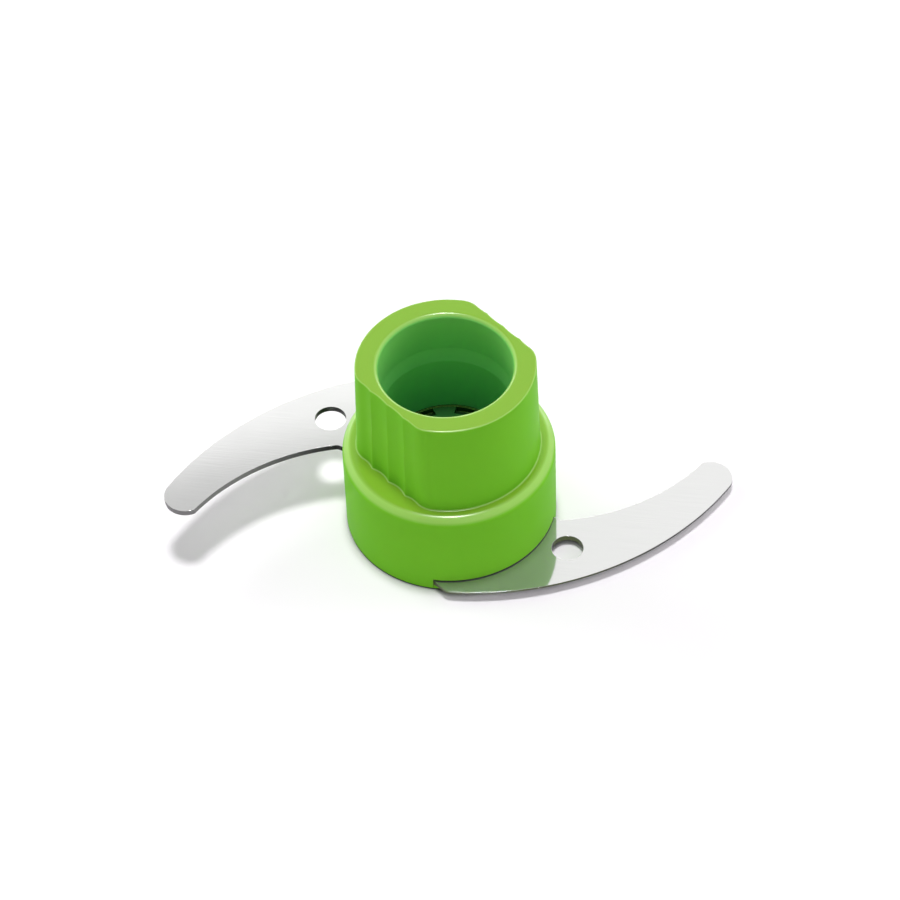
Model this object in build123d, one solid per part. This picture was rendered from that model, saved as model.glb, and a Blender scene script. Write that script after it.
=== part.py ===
from build123d import *
import math
import os

# Knife insert of a hand-powered food chopper: a moulded hub with two scimitar blades at two heights.
# Frame: origin at the spindle bore's mouth in the base, +Z up the spin axis, grip flats facing +Y and -Y.
# Lengths are millimetres, angles are degrees.

# Blades
blade_thickness = 1.2
blade_length = 34.2
blade_angle = 19.0
stagger_angle = 183.5
hole_offset = 5.1
hole_radius = 3.0
heel_round = 1.6
neck_round = 1.0
bevel_width = 2.4
edge_land = 0.45
grind_runout = 6.0

# Places along the blade's outline: share of the length beyond the skirt, and angle from the hole
neck_share, neck_angle = 0.046, 14.8
back_mid_share, back_mid_angle = 0.409, 25.5
back_tip_share, back_tip_angle = 0.846, 39.2
tip_mid_share, tip_mid_angle = 0.958, 37.8
edge_tip_share, edge_tip_angle = 0.975, 32.1
edge_mid_share, edge_mid_angle = 0.570, 9.9
edge_joint_share, edge_joint_angle = 0.214, -23.0
heel_share, heel_angle = 0.070, -63.0
heel_root_angle = -80.4

# Heights of the stack, from the base upwards
cap_thickness = 1.2
spacer_height = 10.8
floor_thickness = 0.6
drive_ring_height = 1.2
gusset_height = 2.6
shoulder_thickness = 2.5
sleeve_height = 21.0

# Drive socket, and the walls that lie round it
socket_radius = 12.1
socket_wall = 2.0
mouth_step = 0.4
mouth_depth = 8.8
mouth_taper = 3.2
seat_step = 0.3
sleeve_wall = 4.7
sleeve_draft = 0.5
shoulder_width = 2.8
skirt_wall = 2.0
base_round = 0.5
gusset_count = 6
gusset_thickness = 1.4

# Grip flats with ridges and scallops between them, at the foot of the sleeve
grip_depth = 2.35
grip_pitch = 4.6
grip_ridges = 3
scallop_depth = 0.5
top_scallop_share = 0.38
ridge_round = 0.35
grip_end_round = 4.5
rim_inner_round = 0.9
rim_outer_round = 0.3
foot_round_share = 0.12
shoulder_round_share = 0.72

# Drive core
hexagon_land = 0.75
dog_count = 9
dog_angle = 2.7
dog_width = 3.6
dog_depth = 1.8
core_end_gap = 0.1
core_out_radius = 1.3

# Spindle bush
bush_bore_radius = 3.5
bush_wall = 1.5
bush_end = 1.5
bush_lip = 0.5
bush_float = 0.15

# Clamp screws
screw_count = 3
screw_radius = 1.1
screw_edge = 2.1
screw_length = 10.0
screw_head_radius = 2.1
screw_head_height = 1.0
screw_head_sink = 0.1
screw_tip_height = 0.8
recess_length = 2.4
recess_width = 0.5
recess_depth = 0.6
tip_share = 0.4

# Spacer frame
spacer_rim = 2.0
spacer_hub_wall = 1.8

# Clearances, and how far a cutting tool runs past the piece that it cuts
slot_gap = 0.3
slot_side_clearance = 0.12
panel_seam = 0.06
root_clearance = 0.4
cap_clearance = 0.15
core_clearance = 0.1
hexagon_clearance = 0.12
running_clearance = 0.05
thread_clearance = 0.02
overrun = 1.0
height_tolerance_share = 0.00001

# Heights that follow from the stack
lower_blade_z = cap_thickness
spacer_z = lower_blade_z + blade_thickness
upper_blade_z = spacer_z + spacer_height
floor_z = upper_blade_z + blade_thickness
seat_z = floor_z + floor_thickness
drive_ring_z = seat_z + drive_ring_height
ceiling_z = floor_z + gusset_height
shoulder_z = ceiling_z + shoulder_thickness
rim_z = shoulder_z + sleeve_height
ledge_z = rim_z - mouth_depth
bush_top = upper_blade_z
screw_end = screw_head_sink + screw_length

# Radii that follow from the socket and the spindle
bush_radius = bush_bore_radius + bush_wall
mouth_radius = socket_radius + mouth_step
seat_radius = socket_radius - seat_step
core_radius = seat_radius - core_clearance
hexagon_radius = core_radius - hexagon_land
sleeve_radius = mouth_radius + sleeve_wall
skirt_radius = sleeve_radius + shoulder_width
cavity_radius = skirt_radius - skirt_wall
root_radius = cavity_radius - root_clearance
screw_circle = hexagon_radius - screw_edge / math.sin(math.radians(60))
hole_circle = skirt_radius + hole_offset

upward = (Align.CENTER, Align.CENTER, Align.MIN)


def polar(radius, angle):
    return Vector(radius, 0).rotate(Axis.Z, angle)


def disc(radius, low, high):
    return Pos(0, 0, low) * Cylinder(radius, high - low, align=upward)


def ring(inner, outer, low, high):
    return disc(outer, low, high) - disc(inner, low - overrun, high + overrun)


def hexagon(radius, low, high):
    return Pos(0, 0, low) * extrude(RegularPolygon(radius, 6), high - low)


def around(count, radius, shape, first=0):
    return [Rot(0, 0, first + turn * 360 / count) * Pos(radius, 0, 0) * shape for turn in range(count)]


# Blade

def on_blade(share, angle):
    return polar(skirt_radius + share * blade_length, angle)


def cutting_edge():
    joint = on_blade(edge_joint_share, edge_joint_angle)
    outer = ThreePointArc(
        on_blade(edge_tip_share, edge_tip_angle), on_blade(edge_mid_share, edge_mid_angle), joint
    )
    inner = TangentArc(joint, on_blade(heel_share, heel_angle), tangent=outer % 1)
    return outer, inner


def arm_plan():
    neck = on_blade(neck_share, neck_angle)
    back_tip = on_blade(back_tip_share, back_tip_angle)
    heel = on_blade(heel_share, heel_angle)
    neck_root = Vector(0, neck.Y)
    heel_root = polar(root_radius, heel_root_angle)
    outer, inner = cutting_edge()
    outline = [
        Line(neck_root, neck),
        ThreePointArc(neck, on_blade(back_mid_share, back_mid_angle), back_tip),
        ThreePointArc(back_tip, on_blade(tip_mid_share, tip_mid_angle), outer @ 0),
        outer,
        inner,
        Line(heel, heel_root),
        Line(heel_root, Vector(0, 0)),
        Line(Vector(0, 0), neck_root),
    ]
    arm = make_face(outline)
    arm = fillet(arm.vertices().sort_by_distance(neck)[0], neck_round)
    arm = fillet(arm.vertices().sort_by_distance(heel)[0], heel_round)
    return arm


def blade_plan():
    return arm_plan() + Circle(root_radius)


def edge_grinding():
    outer, inner = cutting_edge()
    along = outer % 0
    start = outer @ 0 - along * grind_runout
    finish = inner @ 1 + (inner % 1) * grind_runout
    path = Wire([Line(start, outer @ 0), outer, inner, Line(inner @ 1, finish)])
    section = Plane(start, x_dir=along.cross(Vector(0, 0, 1)), z_dir=-along)
    bevel_height = blade_thickness - edge_land
    rise = Vector(-bevel_width, bevel_height)
    toe = Vector(bevel_width, 0) - rise
    crest = Vector(0, bevel_height) + rise
    wedge = make_face(Polyline(toe, crest, Vector(crest.X, toe.Y), close=True))
    return sweep(section * wedge, path)


def blade(height, turn):
    plate = extrude(blade_plan(), blade_thickness) - edge_grinding()
    plate -= Pos(hole_circle, 0, 0) * disc(hole_radius, -overrun, blade_thickness + overrun)
    plate = Rot(0, 0, blade_angle + turn) * plate
    plate -= hexagon(hexagon_radius + hexagon_clearance, -overrun, blade_thickness + overrun)
    return Pos(0, 0, height) * plate


# Openings in the skirt's wall where a blade passes, and the panels that close the wall below it

def wall_sector(clearance, inner, turn):
    passage = offset(arm_plan(), clearance) & (Circle(skirt_radius + overrun) - Circle(inner))
    return Rot(0, 0, blade_angle + turn) * passage


def blade_window(top, turn):
    sector = wall_sector(slot_side_clearance, root_radius, turn)
    return Pos(0, 0, -overrun) * extrude(sector, top + slot_gap + overrun)


def wall_panel(inner, low, high, turn):
    sector = wall_sector(slot_side_clearance - panel_seam, inner, turn)
    return (Pos(0, 0, low) * extrude(sector, high - low)) & skirt_body()


# Hub casing

def skirt_body():
    body = disc(skirt_radius, 0, shoulder_z)
    rims = body.edges().filter_by(GeomType.CIRCLE).sort_by(Axis.Z)
    body = fillet(rims[-1], shoulder_width * shoulder_round_share)
    return fillet(body.edges().filter_by(GeomType.CIRCLE).sort_by(Axis.Z)[0], base_round)


def grip_side(depth):
    distance = sleeve_radius - grip_depth
    half = grip_pitch * (grip_ridges - 1) / 2
    end = math.sqrt(sleeve_radius**2 - distance**2)
    stations = [-end] + [turn * grip_pitch - half for turn in range(grip_ridges)] + [end]
    corners = [Vector(station, distance) for station in stations]
    dip = Vector(0, -depth)
    return corners, [
        ThreePointArc(left, (left + right) / 2 + dip, right) for left, right in zip(corners, corners[1:])
    ]


def sleeve_plan(depth):
    corners, scallops = grip_side(depth)
    far_corners = [corner.rotate(Axis.Z, 180) for corner in corners]
    far_scallops = [Rot(0, 0, 180) * scallop for scallop in scallops]
    round_sides = [
        ThreePointArc(corners[-1], Vector(sleeve_radius, 0), far_corners[0]),
        ThreePointArc(far_corners[-1], Vector(-sleeve_radius, 0), corners[0]),
    ]
    plan = make_face(scallops + far_scallops + round_sides)
    ends = [corners[0], corners[-1], far_corners[0], far_corners[-1]]
    ridges = corners[1:-1] + far_corners[1:-1]
    for points, radius in ((ends, grip_end_round), (ridges, ridge_round)):
        for point in points:
            plan = fillet(plan.vertices().sort_by_distance(point)[0], radius)
    return plan


def sleeve():
    foot = sleeve_plan(scallop_depth).face()
    top = sleeve_plan(scallop_depth * top_scallop_share).face()
    top = scale(top, (sleeve_radius - sleeve_draft) / sleeve_radius)
    return loft([Pos(0, 0, shoulder_z) * foot, Pos(0, 0, rim_z) * top], ruled=True)


def edges_at(body, height, inside):
    level = body.edges().filter_by(lambda edge: edge.bounding_box().size.Z < height_tolerance_share * height)
    level = level.filter_by(lambda edge: abs((edge @ 0.5).Z - height) < height_tolerance_share * height)
    return level.filter_by(lambda edge: Vector((edge @ 0.5).X, (edge @ 0.5).Y).length < inside)


def hub_outside():
    body = skirt_body() + sleeve()
    shoulder_edge = skirt_radius - shoulder_width * shoulder_round_share
    midway = (sleeve_radius + shoulder_edge) / 2
    body = fillet(edges_at(body, shoulder_z, midway), shoulder_width * foot_round_share)
    return fillet(edges_at(body, rim_z, skirt_radius), rim_outer_round)


def socket_cut():
    tool = disc(mouth_radius, ledge_z, rim_z + overrun) + disc(socket_radius, drive_ring_z, ledge_z)
    taper = Cone(socket_radius, mouth_radius, mouth_taper, align=upward)
    tool += Pos(0, 0, ledge_z - mouth_taper) * taper
    tool += disc(seat_radius, seat_z, drive_ring_z)
    return tool + hexagon(hexagon_radius + hexagon_clearance, floor_z - overrun, seat_z)


def gussets():
    web = Box(
        cavity_radius - socket_radius, gusset_thickness, gusset_height,
        align=(Align.MIN, Align.CENTER, Align.MIN),
    )
    return [Pos(0, 0, floor_z) * rib for rib in around(gusset_count, socket_radius, web)]


def hub_casing():
    tube = disc(socket_radius + socket_wall, floor_z, ceiling_z)
    casing = hub_outside() - disc(cavity_radius, -overrun, ceiling_z) + tube + gussets() - socket_cut()
    casing = fillet(edges_at(casing, rim_z, (mouth_radius + sleeve_radius) / 2), rim_inner_round)
    return casing - blade_window(spacer_z, 0) - blade_window(floor_z, stagger_angle)


# Drive core: hexagon post below, disc with a ring of dog slots above

def at_corners(shape, first=0):
    return around(screw_count, screw_circle, shape, first)


def drive_core():
    low = cap_thickness + core_end_gap
    core = hexagon(hexagon_radius, low, seat_z) + disc(core_radius, seat_z, drive_ring_z)
    slot = Pos(-dog_depth, 0, seat_z) * Box(
        dog_depth + overrun, dog_width, drive_ring_height + overrun,
        align=(Align.MIN, Align.CENTER, Align.MIN),
    )
    core -= around(dog_count, core_radius, slot, dog_angle)
    core -= disc(bush_radius + running_clearance, low - overrun, bush_top + bush_float)
    pilot = disc(screw_radius + thread_clearance, low - overrun, screw_end + core_end_gap)
    core_out = disc(core_out_radius, low - overrun, upper_blade_z)
    return core - at_corners(pilot) - at_corners(core_out, 180 / screw_count)


# Spindle bush: a cup that the bowl's spindle enters from below, with a neck through the base cap

def spindle_bush():
    low = cap_thickness + bush_float
    cup = disc(bush_radius, low, bush_top) + disc(bush_radius - bush_lip - cap_clearance, 0, low)
    return cup - disc(bush_bore_radius, -overrun, bush_top - bush_end)


# Spacer between the blades

def blade_spacer():
    hub_radius = hexagon_radius + hexagon_clearance + spacer_hub_wall
    frame = ring(root_radius - spacer_rim, root_radius, spacer_z, upper_blade_z)
    frame += disc(hub_radius, spacer_z, upper_blade_z)
    rib = Box(
        root_radius - spacer_rim / 2 - hexagon_radius, gusset_thickness, spacer_height,
        align=(Align.MIN, Align.CENTER, Align.MIN),
    )
    frame += [Pos(0, 0, spacer_z) * web for web in around(gusset_count, hexagon_radius, rib)]
    frame -= hexagon(hexagon_radius + hexagon_clearance, spacer_z - overrun, upper_blade_z + overrun)
    frame += wall_panel(root_radius - spacer_rim / 2, spacer_z, upper_blade_z, stagger_angle)
    return frame + wall_panel(cavity_radius, 0, spacer_z, stagger_angle)


# Base cap and the screws through it

def base_cap():
    radius = cavity_radius - cap_clearance
    cap = disc(radius, 0, cap_thickness) + wall_panel(radius - cap_clearance, 0, cap_thickness, 0)
    cap -= disc(bush_radius - bush_lip, -overrun, cap_thickness + overrun)
    return cap - at_corners(screw_body(thread_clearance))


def screw_body(clearance):
    head_top = screw_head_sink + screw_head_height
    head = Cone(screw_head_radius + clearance, screw_radius + clearance, screw_head_height, align=upward)
    body = Pos(0, 0, screw_head_sink) * head
    body += disc(screw_radius + clearance, head_top, screw_end - screw_tip_height)
    tip = Cone(screw_radius + clearance, screw_radius * tip_share, screw_tip_height, align=upward)
    body += Pos(0, 0, screw_end - screw_tip_height) * tip
    if clearance:
        body += disc(screw_head_radius + clearance, -overrun, screw_head_sink)
    return body


def clamp_screws():
    arm = Box(recess_length, recess_width, recess_depth + overrun, align=upward)
    cross = Pos(0, 0, screw_head_sink - overrun) * (arm + Rot(0, 0, 90) * arm)
    return Compound(children=[copy.solid() for copy in at_corners(screw_body(0) - cross)])


os.makedirs("parts", exist_ok=True)
nodes = {
    "hub_casing": hub_casing(),
    "drive_core": drive_core(),
    "upper_blade": blade(upper_blade_z, stagger_angle),
    "lower_blade": blade(lower_blade_z, 0),
    "blade_spacer": blade_spacer(),
    "base_cap": base_cap(),
    "spindle_bush": spindle_bush(),
    "clamp_screws": clamp_screws(),
}
for name, shape in nodes.items():
    export_step(shape, f"parts/{name}.step")
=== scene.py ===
import math

import bpy
from mathutils import Matrix, Vector

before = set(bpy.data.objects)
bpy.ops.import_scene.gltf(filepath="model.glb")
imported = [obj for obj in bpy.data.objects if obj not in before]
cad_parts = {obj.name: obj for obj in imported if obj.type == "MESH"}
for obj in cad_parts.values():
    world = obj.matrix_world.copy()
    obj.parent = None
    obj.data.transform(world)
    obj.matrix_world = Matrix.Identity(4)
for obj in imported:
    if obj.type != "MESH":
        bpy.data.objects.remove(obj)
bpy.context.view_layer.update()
scene = bpy.context.scene
scene.view_settings.view_transform = "Standard"
print("frame loaded:", ", ".join(sorted(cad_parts)))


def feed(tree, socket, value):      # a link from another socket, or a fixed value
    if isinstance(value, bpy.types.NodeSocket):
        tree.links.new(value, socket)
    else:
        socket.default_value = value


def addNode(tree, kind, inputs=None, **settings):
    node = tree.nodes.new(kind)
    for name, value in settings.items():
        setattr(node, name, value)
    for name, value in (inputs or {}).items():
        feed(tree, node.inputs[name], value)
    return node


def addMath(tree, operation, first, second=0.0):
    return addNode(tree, "ShaderNodeMath", {0: first, 1: second}, operation=operation).outputs[0]


def addRange(tree, value, low, high, start, end):      # value from low..high to start..end, clamped
    inputs = {"Value": value, "From Min": low, "From Max": high, "To Min": start, "To Max": end}
    return addNode(tree, "ShaderNodeMapRange", inputs, clamp=True).outputs["Result"]


def addMix(tree, factor, first, second):
    node = tree.nodes.new("ShaderNodeMix")
    node.data_type = "RGBA"
    for index, value in ((0, factor), (6, first), (7, second)):
        feed(tree, node.inputs[index], value)
    return node.outputs[2]


def startGroup(name, inputs, outputs):
    tree = bpy.data.node_groups.new(name, "ShaderNodeTree")
    for label, value in inputs.items():
        socket = tree.interface.new_socket(name=label, in_out="INPUT", socket_type="NodeSocketFloat")
        socket.default_value = value
    for label, kind in outputs.items():
        tree.interface.new_socket(name=label, in_out="OUTPUT", socket_type="NodeSocket" + kind)
    return tree, tree.nodes.new("NodeGroupInput").outputs, tree.nodes.new("NodeGroupOutput").inputs


noiseSpan = (0.3, 0.7)      # where most of a noise texture's values lie
# Spans of the normal's height over which each mask of the skin sets in
skinTilt = {"upward": (0.4, 0.95), "offWall": (0.3, 0.6), "offLevel": (0.9, 0.99)}


# Moulded skin: Grain is fine noise from the mould's surface, Mottle is broad noise from the melt's flow,
# Upward is 1 on faces that look up, Slant is 1 on the rounds between those and the walls
def makeMouldSkin():
    tree, given, result = startGroup(
        "mouldSkin", {"Grain Scale": 3000.0, "Mottle Scale": 70.0},
        {"Grain": "Float", "Mottle": "Float", "Upward": "Float", "Slant": "Float"})
    coordinates = addNode(tree, "ShaderNodeTexCoord").outputs
    for label, detail in (("Grain", 3.0), ("Mottle", 2.0)):
        noise = addNode(tree, "ShaderNodeTexNoise", {
            "Vector": coordinates["Object"], "Scale": given[label + " Scale"], "Detail": detail})
        feed(tree, result[label], noise.outputs["Fac"])
    upright = addNode(tree, "ShaderNodeSeparateXYZ", {"Vector": coordinates["Normal"]}).outputs["Z"]
    feed(tree, result["Upward"], addRange(tree, upright, *skinTilt["upward"], 0.0, 1.0))
    offWall = addRange(tree, upright, *skinTilt["offWall"], 0.0, 1.0)
    offLevel = addRange(tree, upright, *skinTilt["offLevel"], 1.0, 0.0)
    feed(tree, result["Slant"], addMath(tree, "MULTIPLY", offWall, offLevel))
    return tree


# Socket wall: Mask is 1 within Radius of the spin axis above Foot, Rise goes from 0 at Foot to 1 at Mouth,
# Deep is 1 on the seat below the drive ring's top
def makeSocketWall():
    tree, given, result = startGroup(
        "socketWall", {"Radius": 0.0126, "Blend": 0.0004, "Foot": 0.0145, "Seat": 0.0164, "Mouth": 0.0380},
        {"Mask": "Float", "Rise": "Float", "Deep": "Float"})
    where = addNode(tree, "ShaderNodeTexCoord").outputs["Object"]
    across = addNode(tree, "ShaderNodeVectorMath", {0: where, 1: (1.0, 1.0, 0.0)}, operation="MULTIPLY")
    radius = addNode(tree, "ShaderNodeVectorMath", {0: across.outputs["Vector"]}, operation="LENGTH")
    outside = addMath(tree, "ADD", given["Radius"], given["Blend"])
    inside = addRange(tree, radius.outputs["Value"], given["Radius"], outside, 1.0, 0.0)
    height = addNode(tree, "ShaderNodeSeparateXYZ", {"Vector": where}).outputs["Z"]
    above = addMath(tree, "GREATER_THAN", height, given["Foot"])
    feed(tree, result["Mask"], addMath(tree, "MULTIPLY", inside, above))
    feed(tree, result["Rise"], addRange(tree, height, given["Foot"], given["Mouth"], 0.0, 1.0))
    feed(tree, result["Deep"], addMath(tree, "LESS_THAN", height, given["Seat"]))
    return tree


# Brushed sheet: noise stretched along the rolling direction, and a slower cloud over it
def makeBrushLines():
    tree, given, result = startGroup(
        "brushLines", {"Turn": 0.0, "Line Scale": 5000.0, "Cloud Scale": 90.0, "Stretch": 0.02},
        {"Lines": "Float", "Cloud": "Float"})
    place = addNode(tree, "ShaderNodeTexCoord").outputs["Object"]
    turned = addNode(tree, "ShaderNodeVectorRotate", {
        "Vector": place, "Angle": given["Turn"]}, rotation_type="Z_AXIS").outputs["Vector"]
    squeeze = addNode(tree, "ShaderNodeCombineXYZ", {"X": given["Stretch"], "Y": 1.0, "Z": 1.0})
    drawn = addNode(tree, "ShaderNodeVectorMath", {
        0: turned, 1: squeeze.outputs["Vector"]}, operation="MULTIPLY").outputs["Vector"]
    for label, vector, scale in (("Lines", drawn, "Line Scale"), ("Cloud", turned, "Cloud Scale")):
        noise = addNode(tree, "ShaderNodeTexNoise", {"Vector": vector, "Scale": given[scale], "Detail": 2.0})
        feed(tree, result[label], noise.outputs["Fac"])
    return tree


edgeAgreement = (0.995, 0.85)      # cosine between the two normals off an edge, and on it


# Edge: the normal rounded over Radius, and a mask where it leaves the face's own normal, which the plastics
# use for painted highlights
def makeEdgeRounding():
    tree, given, result = startGroup(
        "edgeRounding", {"Radius": 0.0002}, {"Mask": "Float", "Normal": "Vector"})
    rounded = addNode(tree, "ShaderNodeBevel", {"Radius": given["Radius"]}, samples=8).outputs["Normal"]
    flat = addNode(tree, "ShaderNodeNewGeometry").outputs["Normal"]
    agree = addNode(tree, "ShaderNodeVectorMath", {0: rounded, 1: flat}, operation="DOT_PRODUCT")
    feed(tree, result["Mask"], addRange(tree, agree.outputs["Value"], *edgeAgreement, 0.0, 1.0))
    feed(tree, result["Normal"], rounded)
    return tree


gapOpenness = (0.12, 0.38)      # share of the surroundings that is left deep in a gap, and at its mouth


# Gap: a mask that is 1 deep inside a narrow gap, where walls within Reach hide most of the surroundings; the
# plastics use it to paint shade into gaps
def makeGapShade():
    tree, given, result = startGroup("gapShade", {"Reach": 0.0025}, {"Mask": "Float"})
    openness = addNode(tree, "ShaderNodeAmbientOcclusion", {"Distance": given["Reach"]}, samples=8)
    feed(tree, result["Mask"], addRange(tree, openness.outputs["AO"], *gapOpenness, 1.0, 0.0))
    return tree


sideTilt = (0.35, 0.75)      # height of the normal on a cut wall, and on a face


# Sheet sides: Mask is 1 on walls cut through a level sheet and 0 on its faces, Outward rises with the
# distance from the frame's origin, Leading is 1 on walls that go first when the rotor turns clockwise
def makeCutSides():
    tree, given, result = startGroup(
        "cutSides", {"Near": 0.024, "Far": 0.042},
        {"Mask": "Float", "Outward": "Float", "Leading": "Float"})
    coordinates = addNode(tree, "ShaderNodeTexCoord").outputs
    upright = addNode(tree, "ShaderNodeSeparateXYZ", {"Vector": coordinates["Normal"]}).outputs["Z"]
    feed(tree, result["Mask"], addRange(tree, addMath(tree, "ABSOLUTE", upright), *sideTilt, 1.0, 0.0))
    reach = addNode(tree, "ShaderNodeVectorMath", {0: coordinates["Object"]}, operation="LENGTH")
    outward = addRange(tree, reach.outputs["Value"], given["Near"], given["Far"], 0.0, 1.0)
    feed(tree, result["Outward"], outward)
    travel = addNode(tree, "ShaderNodeVectorMath", {
        0: coordinates["Object"], 1: (0.0, 0.0, 1.0)}, operation="CROSS_PRODUCT").outputs["Vector"]
    ahead = addNode(tree, "ShaderNodeVectorMath", {
        0: travel, 1: coordinates["Normal"]}, operation="DOT_PRODUCT").outputs["Value"]
    feed(tree, result["Leading"], addMath(tree, "GREATER_THAN", ahead, 0.0))
    return tree


mouldSkin = makeMouldSkin()
socketWall = makeSocketWall()
brushLines = makeBrushLines()
edgeRounding = makeEdgeRounding()
gapShade = makeGapShade()
cutSides = makeCutSides()
print("shader groups:", ", ".join(group.name for group in bpy.data.node_groups))


def useGroup(tree, group, **values):
    node = tree.nodes.new("ShaderNodeGroup")
    node.node_tree = group
    for label, value in values.items():
        feed(tree, node.inputs[label.replace("_", " ")], value)
    return node.outputs


def startTree(owner):      # empty shader tree of a material or world
    owner.use_nodes = True
    owner.node_tree.nodes.clear()
    return owner.node_tree


def startMaterial(name, look):
    material = bpy.data.materials.new(name)
    tree = startTree(material)
    shader = addNode(tree, "ShaderNodeBsdfPrincipled", look)
    output = tree.nodes.new("ShaderNodeOutputMaterial")
    tree.links.new(shader.outputs["BSDF"], output.inputs["Surface"])
    return material, tree, shader.inputs


black = (0.0, 0.0, 0.0, 1.0)
polishOnset = (0.0, 0.5)      # share of Upward where the polish starts, and where it is full


def makePlastic(name, finish):
    material, tree, shader = startMaterial(name, {
        "Specular IOR Level": finish["specular"], "Coat Roughness": finish["polishRoughness"],
        "Subsurface Weight": finish["glow"], "Subsurface Scale": finish["glowReach"]})
    skin = useGroup(tree, mouldSkin, Grain_Scale=finish["grainScale"])
    edge = useGroup(tree, edgeRounding, Radius=finish["edgeRadius"])
    flow = addRange(tree, skin["Mottle"], *noiseSpan, 0.0, 1.0)
    body = addMix(tree, flow, finish["colour"], finish["flowColour"])
    # Painted light: faces that look up get a painted tone standing in for how the overhead light falls on
    # them
    body = addMix(tree, skin["Upward"], body, finish["upFacingPaintedColour"])
    # Painted light and shade inside the socket: lighter towards the mouth, darker towards the foot, darkest
    # on the seat
    socket = useGroup(tree, socketWall)
    paintedSocketTone = addMix(tree, socket["Rise"], finish["socketFootShadeColour"], finish["socketMouthLightColour"])
    paintedSocketTone = addMix(tree, socket["Deep"], paintedSocketTone, finish["socketSeatShadeColour"])
    body = addMix(tree, socket["Mask"], body, paintedSocketTone)
    # Painted highlight on edges and on the rounds between top faces and walls (painted shade on the dark
    # core)
    paintedEdgeMask = addMath(tree, "MAXIMUM", edge["Mask"], skin["Slant"])
    body = addMix(tree, addMath(tree, "MULTIPLY", paintedEdgeMask, finish["paintedEdgeShare"]), body, finish["paintedEdgeColour"])
    # Painted reflection: the plastic is darker where reflections see it, so its mirror image in the steel is
    # darkened
    mirrored = addNode(tree, "ShaderNodeLightPath").outputs["Is Glossy Ray"]
    body = addMix(tree, addMath(tree, "MULTIPLY", mirrored, finish["paintedMirrorShade"]), body, black)
    # Painted shade deep in narrow gaps
    gapShadeMask = useGroup(tree, gapShade)["Mask"]
    feed(tree, shader["Base Color"], addMix(tree, gapShadeMask, body, finish["gapShadeColour"]))
    feed(tree, shader["Roughness"], addRange(tree, skin["Mottle"], *noiseSpan, *finish["roughness"]))
    feed(tree, shader["Coat Weight"], addRange(tree, skin["Upward"], *polishOnset, *finish["polish"]))
    bump = addNode(tree, "ShaderNodeBump", {
        "Height": skin["Grain"], "Normal": edge["Normal"],
        "Strength": finish["grainStrength"], "Distance": finish["grainDepth"]})
    feed(tree, shader["Normal"], bump.outputs["Normal"])
    return material


def makeSteel(name, finish):
    material, tree, shader = startMaterial(name, {"Metallic": finish["metallic"]})
    brushed = useGroup(tree, brushLines, Turn=math.radians(finish["brushTurn"]), Stretch=finish["stretch"])
    edge = useGroup(tree, edgeRounding, Radius=finish["edgeRadius"])
    sides = useGroup(tree, cutSides)
    streak = addRange(tree, brushed["Lines"], *noiseSpan, 0.0, 1.0)
    face = addMix(tree, streak, finish["colour"], finish["streakColour"])
    # Painted reflection on the cut sides: darker near the hub, green-tinged on the leading land near it
    paintedSideReflection = addMix(tree, sides["Outward"], finish["cutSideNearReflectionColour"], finish["cutSideReflectionColour"])
    ground = addMix(tree, sides["Outward"], finish["landNearReflectionColour"], finish["landReflectionColour"])
    paintedSideReflection = addMix(tree, sides["Leading"], paintedSideReflection, ground)
    feed(tree, shader["Base Color"], addMix(tree, sides["Mask"], face, paintedSideReflection))
    smooth = addRange(tree, brushed["Cloud"], *noiseSpan, *finish["roughness"])
    coarse = addMath(tree, "MULTIPLY", sides["Mask"], finish["cutRoughness"])
    feed(tree, shader["Roughness"], addMath(tree, "MAXIMUM", smooth, coarse))
    bump = addNode(tree, "ShaderNodeBump", {
        "Height": brushed["Lines"], "Normal": edge["Normal"],
        "Strength": finish["lineStrength"], "Distance": finish["lineDepth"]})
    feed(tree, shader["Normal"], bump.outputs["Normal"])
    return material


limePlastic = {
    "colour": (0.192, 0.590, 0.027, 1.0),
    "flowColour": (0.202, 0.600, 0.029, 1.0),
    "upFacingPaintedColour": (0.228, 0.460, 0.030, 1.0),
    "socketFootShadeColour": (0.160, 0.590, 0.270, 1.0),
    "socketMouthLightColour": (0.300, 0.850, 0.200, 1.0),
    "socketSeatShadeColour": (0.015, 0.060, 0.015, 1.0),
    "paintedEdgeColour": (0.380, 0.680, 0.140, 1.0),
    "paintedEdgeShare": 0.70,
    "gapShadeColour": (0.012, 0.055, 0.004, 1.0),
    "paintedMirrorShade": 0.55,      # painted reflection: share by which the plastic is darkened where reflections see it
    "specular": 0.015,
    "roughness": (0.38, 0.46),
    "polish": (0.01, 0.90),      # gloss on walls, and on faces that look up
    "polishRoughness": 0.20,
    "glow": 0.06,      # share of light that spreads inside the wall, and how far it goes
    "glowReach": 0.0005,
    "grainScale": 3500.0,
    "grainStrength": 0.10,
    "grainDepth": 0.00002,
    "edgeRadius": 0.0002,
}
# Shaded copy of the lime plastic for the drive core deep in the socket: painted darker overall, darkest on
# its top, socket and edges
coreShadedPlastic = dict(
    limePlastic, colour=(0.125, 0.480, 0.022, 1.0), flowColour=(0.133, 0.490, 0.024, 1.0),
    upFacingPaintedColour=(0.022, 0.115, 0.026, 1.0), socketFootShadeColour=(0.020, 0.115, 0.030, 1.0),
    socketSeatShadeColour=(0.022, 0.110, 0.026, 1.0), paintedEdgeColour=(0.030, 0.150, 0.036, 1.0), polish=(0.0, 0.10))
bushPlastic = dict(
    limePlastic, colour=(0.760, 0.745, 0.690, 1.0), flowColour=(0.780, 0.770, 0.720, 1.0),
    upFacingPaintedColour=(0.770, 0.760, 0.710, 1.0), paintedEdgeColour=(0.820, 0.815, 0.780, 1.0),
    gapShadeColour=(0.300, 0.290, 0.260, 1.0),
    roughness=(0.45, 0.55), polish=(0.0, 0.10), grainScale=2500.0)
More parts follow.
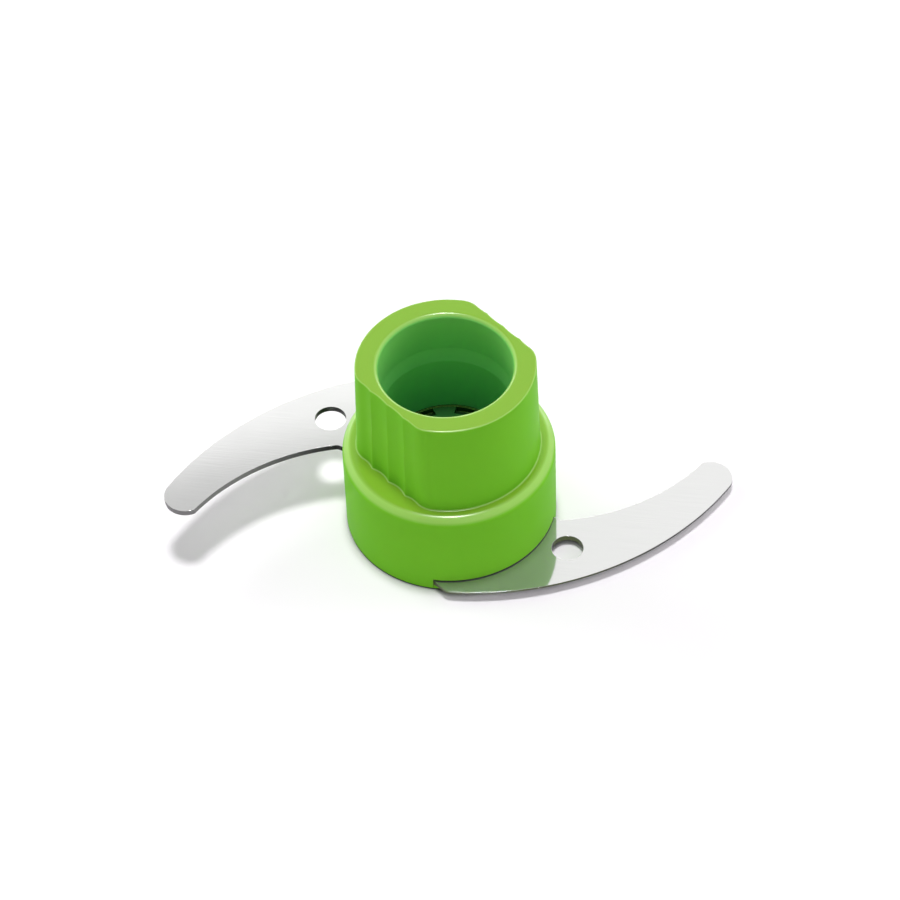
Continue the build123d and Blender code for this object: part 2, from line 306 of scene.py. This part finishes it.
bladeSteel = {
    "metallic": 0.85,
    "colour": (0.905, 0.904, 0.900, 1.0),
    "streakColour": (0.935, 0.933, 0.928, 1.0),
    # Sides of the sheet carry a painted dark reflection: black near the hub and dark grey further out; the
    # ground leading land is dark with a painted green reflection of the hub near it
    "cutSideReflectionColour": (0.190, 0.188, 0.188, 1.0),
    "cutSideNearReflectionColour": (0.005, 0.005, 0.005, 1.0),
    "landReflectionColour": (0.045, 0.045, 0.047, 1.0),
    "landNearReflectionColour": (0.110, 0.135, 0.060, 1.0),
    "roughness": (0.05, 0.07),
    "cutRoughness": 0.42,
    "brushTurn": -40.0,
    "stretch": 0.02,
    "lineStrength": 0.05,
    "lineDepth": 0.00001,
    "edgeRadius": 0.00004,
}
screwSteel = dict(
    bladeSteel, colour=(0.560, 0.560, 0.560, 1.0), streakColour=(0.620, 0.620, 0.615, 1.0),
    cutSideReflectionColour=(0.420, 0.420, 0.420, 1.0), cutSideNearReflectionColour=(0.420, 0.420, 0.420, 1.0),
    landReflectionColour=(0.420, 0.420, 0.420, 1.0), landNearReflectionColour=(0.420, 0.420, 0.420, 1.0),
    roughness=(0.26, 0.34), cutRoughness=0.34, stretch=0.6)

finishes = {
    "limePlastic": (makePlastic("limePlastic", limePlastic), ("hub_casing", "blade_spacer", "base_cap")),
    "coreShadedPlastic": (makePlastic("coreShadedPlastic", coreShadedPlastic), ("drive_core",)),
    "bushPlastic": (makePlastic("bushPlastic", bushPlastic), ("spindle_bush",)),
    "bladeSteel": (makeSteel("bladeSteel", bladeSteel), ("upper_blade", "lower_blade")),
    "screwSteel": (makeSteel("screwSteel", screwSteel), ("clamp_screws",)),
}
for material, nodes in finishes.values():
    for node in nodes:
        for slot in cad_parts[node].material_slots:
            slot.material = material
print("finishes:", ", ".join(finishes))


# Camera: the photograph's angle in degrees, framed on the spin axis
view = {
    "azimuth": 50.0, "elevation": 48.10, "roll": -2.377,
    "distance": 0.7, "aim": (0.0, 0.0, 0.020), "nearClip": 0.01,
    "focalPixels": 3743.2, "aimPixel": (448.55, 439.24), "imagePixels": 900.0,
}
azimuth, elevation, roll = (math.radians(view[name]) for name in ("azimuth", "elevation", "roll"))
upAxis = Vector((0.0, 0.0, 1.0))
level = Vector((math.sin(azimuth), -math.cos(azimuth), 0.0))      # from the hub towards the camera
back = level * math.cos(elevation) + upAxis * math.sin(elevation)
levelRight = Vector((math.cos(azimuth), math.sin(azimuth), 0.0))
levelUp = back.cross(levelRight)
right = levelRight * math.cos(roll) + levelUp * math.sin(roll)
up = levelUp * math.cos(roll) - levelRight * math.sin(roll)

cameraData = bpy.data.cameras.new("photoCamera")
cameraData.lens = cameraData.sensor_width * view["focalPixels"] / view["imagePixels"]
cameraData.shift_x = 0.5 - view["aimPixel"][0] / view["imagePixels"]
cameraData.shift_y = view["aimPixel"][1] / view["imagePixels"] - 0.5
cameraData.clip_start = view["nearClip"]
camera = bpy.data.objects.new("photoCamera", cameraData)
place = Vector(view["aim"]) + back * view["distance"]
camera.matrix_world = Matrix.Translation(place) @ Matrix((right, up, back)).transposed().to_4x4()
scene.collection.objects.link(camera)
scene.camera = camera
print("camera: %.1f mm lens" % cameraData.lens)


# Floor: pale board that keeps the shadow, has a painted contact shadow close to what stands on it and fades
# into the white ground
board = {
    "half": 3.0, "drop": 0.00005, "fade": (0.25, 0.60), "lift": 0.07,
    "contactReach": 0.0022, "contactOpenness": (0.38, 0.57), "contactShadowTone": 0.10,
    "colour": (0.90, 0.90, 0.905, 1.0), "seenColour": (0.910, 0.880, 0.920, 1.0),
}


def makeFloor():
    half, low = board["half"], -board["drop"]
    mesh = bpy.data.meshes.new("floor")
    corners = [(-half, -half, low), (half, -half, low), (half, half, low), (-half, half, low)]
    mesh.from_pydata(corners, [], [(0, 1, 2, 3)])
    material = bpy.data.materials.new("paleFloor")
    tree = startTree(material)
    path = addNode(tree, "ShaderNodeLightPath").outputs
    seen = addMath(tree, "MAXIMUM", path["Is Camera Ray"], path["Is Glossy Ray"])
    seen = addMath(tree, "MAXIMUM", seen, path["Is Transmission Ray"])
    where = addNode(tree, "ShaderNodeTexCoord").outputs["Object"]
    reach = addNode(tree, "ShaderNodeVectorMath", {0: where}, operation="LENGTH").outputs["Value"]
    far = addMath(tree, "MULTIPLY", addRange(tree, reach, *board["fade"], 0.0, 1.0), seen)
    openness = addNode(tree, "ShaderNodeAmbientOcclusion", {"Distance": board["contactReach"]}, samples=16)
    contactShadowFactor = addRange(tree, openness.outputs["AO"], *board["contactOpenness"], board["contactShadowTone"], 1.0)
    tone = addMix(tree, seen, board["colour"], board["seenColour"])
    tone = addMix(tree, contactShadowFactor, black, tone)
    paper = addNode(tree, "ShaderNodeBsdfDiffuse", {"Color": tone}).outputs["BSDF"]
    lift = addMath(tree, "MULTIPLY", addMath(tree, "MULTIPLY", seen, contactShadowFactor), board["lift"])
    glow = addNode(tree, "ShaderNodeEmission", {"Strength": lift}).outputs["Emission"]
    lit = addNode(tree, "ShaderNodeAddShader", {0: paper, 1: glow}).outputs["Shader"]
    white = addNode(tree, "ShaderNodeEmission", {"Strength": 1.0}).outputs["Emission"]
    blend = addNode(tree, "ShaderNodeMixShader", {0: far, 1: lit, 2: white}).outputs["Shader"]
    output = tree.nodes.new("ShaderNodeOutputMaterial")
    tree.links.new(blend, output.inputs["Surface"])
    mesh.materials.append(material)
    floor = bpy.data.objects.new("floor", mesh)
    scene.collection.objects.link(floor)


makeFloor()
print("floor: half width %.1f m" % board["half"])


# Light: white surroundings with a grey part, deepest on the left, that only reflections see, a small lamp
# overhead, soft fills at both sides, and cards that put a line of light on the rounded edges
surroundings = {
    "ambient": 0.31, "ground": 1.0, "reflected": 1.05,
    "greyDepth": 0.55, "greyRight": 0.30, "greyLean": 0.18,
    "greyAcross": (-0.02, 0.03), "greyRise": (-0.0135, -0.0035),
}
overheadKey = {"strength": 1.85, "angle": 10.0, "side": 0.0, "rise": 87.0, "distance": 1.0}
# Side and rise are degrees, side 0 is straight behind the hub, and brightness is what a mirror shows
lampTable = {
    "leftFill": {"side": -55.0, "rise": 25.0, "distance": 0.9, "size": (0.6, 0.6), "brightness": 2.7},
    "rightFill": {"side": 70.0, "rise": 25.0, "distance": 0.9, "size": (0.6, 0.6), "brightness": 2.2},
    "topCard": {"side": 0.0, "rise": 90.0, "distance": 0.5, "size": (0.20, 0.20), "brightness": 4.0},
    "edgeCard": {"side": 0.0, "rise": 14.0, "distance": 0.9, "size": (1.4, 0.3), "brightness": 3.0},
}
reflectionCards = ("topCard", "edgeCard")


def makeWorld():
    world = bpy.data.worlds.new("whiteStudio")
    tree = startTree(world)
    path = addNode(tree, "ShaderNodeLightPath").outputs
    mirrored = addMath(tree, "MAXIMUM", path["Is Glossy Ray"], path["Is Transmission Ray"])
    towards = addNode(tree, "ShaderNodeTexCoord").outputs["Generated"]
    higher = upAxis * math.cos(elevation) + level * math.sin(elevation)
    leaning = higher + levelRight * surroundings["greyLean"]
    across, rise = (
        addNode(tree, "ShaderNodeVectorMath", {0: towards, 1: axis}, operation="DOT_PRODUCT")
        for axis in (levelRight, leaning))
    left = addRange(
        tree, across.outputs["Value"], *surroundings["greyAcross"], 1.0, surroundings["greyRight"])
    high = addRange(tree, rise.outputs["Value"], *surroundings["greyRise"], 0.0, surroundings["greyDepth"])
    grey = addMath(tree, "MULTIPLY", left, high)
    reflected = addMath(tree, "SUBTRACT", surroundings["reflected"], grey)
    strength = addRange(tree, mirrored, 0.0, 1.0, surroundings["ambient"], reflected)
    strength = addRange(tree, path["Is Camera Ray"], 0.0, 1.0, strength, surroundings["ground"])
    sky = addNode(tree, "ShaderNodeBackground", {"Color": (1.0, 1.0, 1.0, 1.0), "Strength": strength})
    output = tree.nodes.new("ShaderNodeOutputWorld")
    tree.links.new(sky.outputs["Background"], output.inputs["Surface"])
    scene.world = world


def aimLamp(name, data, spot):      # lamp at that side, rise and distance from the hub, facing it
    side, rise = math.radians(spot["side"]), math.radians(spot["rise"])
    away = Matrix.Rotation(-side, 3, "Z") @ -level
    towards = away * math.cos(rise) + upAxis * math.sin(rise)
    lamp = bpy.data.objects.new(name, data)
    turn = towards.to_track_quat("Z", "Y").to_matrix().to_4x4()
    lamp.matrix_world = Matrix.Translation(Vector(view["aim"]) + towards * spot["distance"]) @ turn
    scene.collection.objects.link(lamp)
    return lamp


def makeLamps():
    key = bpy.data.lights.new("overheadKey", "SUN")
    key.energy = overheadKey["strength"]
    key.angle = math.radians(overheadKey["angle"])
    aimLamp("overheadKey", key, overheadKey)
    for name, lamp in lampTable.items():
        data = bpy.data.lights.new(name, "AREA")
        data.shape = "RECTANGLE"
        data.size, data.size_y = lamp["size"]
        data.energy = lamp["brightness"] * math.pi * data.size * data.size_y      # watts
        item = aimLamp(name, data, lamp)
        item.visible_camera = False
        item.visible_glossy = name in reflectionCards
        item.visible_diffuse = not item.visible_glossy


makeWorld()
makeLamps()
print("light: overhead key,", ", ".join(lampTable))
